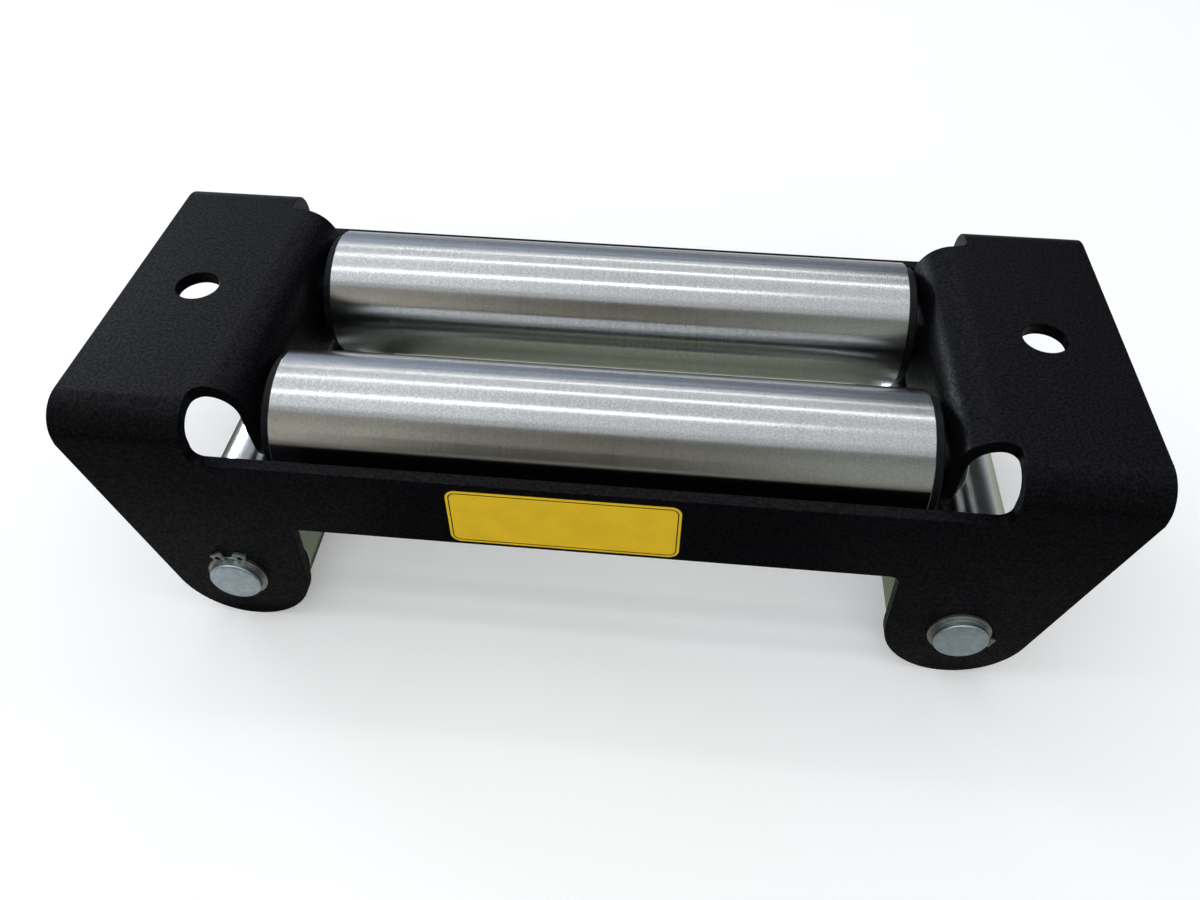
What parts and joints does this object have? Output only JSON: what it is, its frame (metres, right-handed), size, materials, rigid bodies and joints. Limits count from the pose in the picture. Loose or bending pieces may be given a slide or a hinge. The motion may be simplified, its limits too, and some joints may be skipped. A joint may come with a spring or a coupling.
{
  "type": "roller fairlead",
  "caption": "Four-way roller fairlead: folded black steel frame with long and short steel rollers on pins, which guides a winch rope from any side.",
  "frame": {"origin": "midway between the two mounting bolt holes, on the mounting face", "axes": "+Z out of the mounting face, +X along the long rollers and the bolt line, -Y towards the side with the label"},
  "size_m": [0.298, 0.1244, 0.088],
  "materials": {
    "frame_coat": "fine textured black powder coat",
    "roller_steel": "turned bright, fine lathe marks",
    "bush_plastic": "satin moulded, dark grey",
    "pin_zinc": "bright zinc plated",
    "ring_steel": "dull zinc plated spring steel",
    "label_vinyl": "yellow vinyl with a thin black border line, blank"
  },
  "bodies": {
    "frame_assembly": {"frame": "frame_coat", "label": "label_vinyl", "long_roller_near_pin": "pin_zinc", "long_roller_near_ring_left": "ring_steel", "long_roller_near_ring_right": "ring_steel", "long_roller_far_pin": "pin_zinc", "long_roller_far_ring_left": "ring_steel", "long_roller_far_ring_right": "ring_steel", "short_roller_left_pin": "pin_zinc", "short_roller_left_ring_near": "ring_steel", "short_roller_left_ring_far": "ring_steel", "short_roller_right_pin": "pin_zinc", "short_roller_right_ring_near": "ring_steel", "short_roller_right_ring_far": "ring_steel"},
    "long_roller_near": {"long_roller_near_tube": "roller_steel", "long_roller_near_bush_left": "bush_plastic", "long_roller_near_bush_right": "bush_plastic"},
    "long_roller_far": {"long_roller_far_tube": "roller_steel", "long_roller_far_bush_left": "bush_plastic", "long_roller_far_bush_right": "bush_plastic"},
    "short_roller_left": {"short_roller_left_tube": "roller_steel", "short_roller_left_bush_near": "bush_plastic", "short_roller_left_bush_far": "bush_plastic"},
    "short_roller_right": {"short_roller_right_tube": "roller_steel", "short_roller_right_bush_near": "bush_plastic", "short_roller_right_bush_far": "bush_plastic"}
  },
  "joints": [
    {"name": "long_roller_near_spin", "type": "hinge", "parent": "frame_assembly", "child": "long_roller_near", "pos_m": [0, -0.0304, -0.0227], "axis": [1, 0, 0], "continuous": true},
    {"name": "long_roller_far_spin", "type": "hinge", "parent": "frame_assembly", "child": "long_roller_far", "pos_m": [0, 0.0304, -0.0227], "axis": [1, 0, 0], "continuous": true},
    {"name": "short_roller_left_spin", "type": "hinge", "parent": "frame_assembly", "child": "short_roller_left", "pos_m": [-0.1108, 0, -0.0664], "axis": [0, 1, 0], "continuous": true},
    {"name": "short_roller_right_spin", "type": "hinge", "parent": "frame_assembly", "child": "short_roller_right", "pos_m": [0.1108, 0, -0.0664], "axis": [0, 1, 0], "continuous": true}
  ]
}
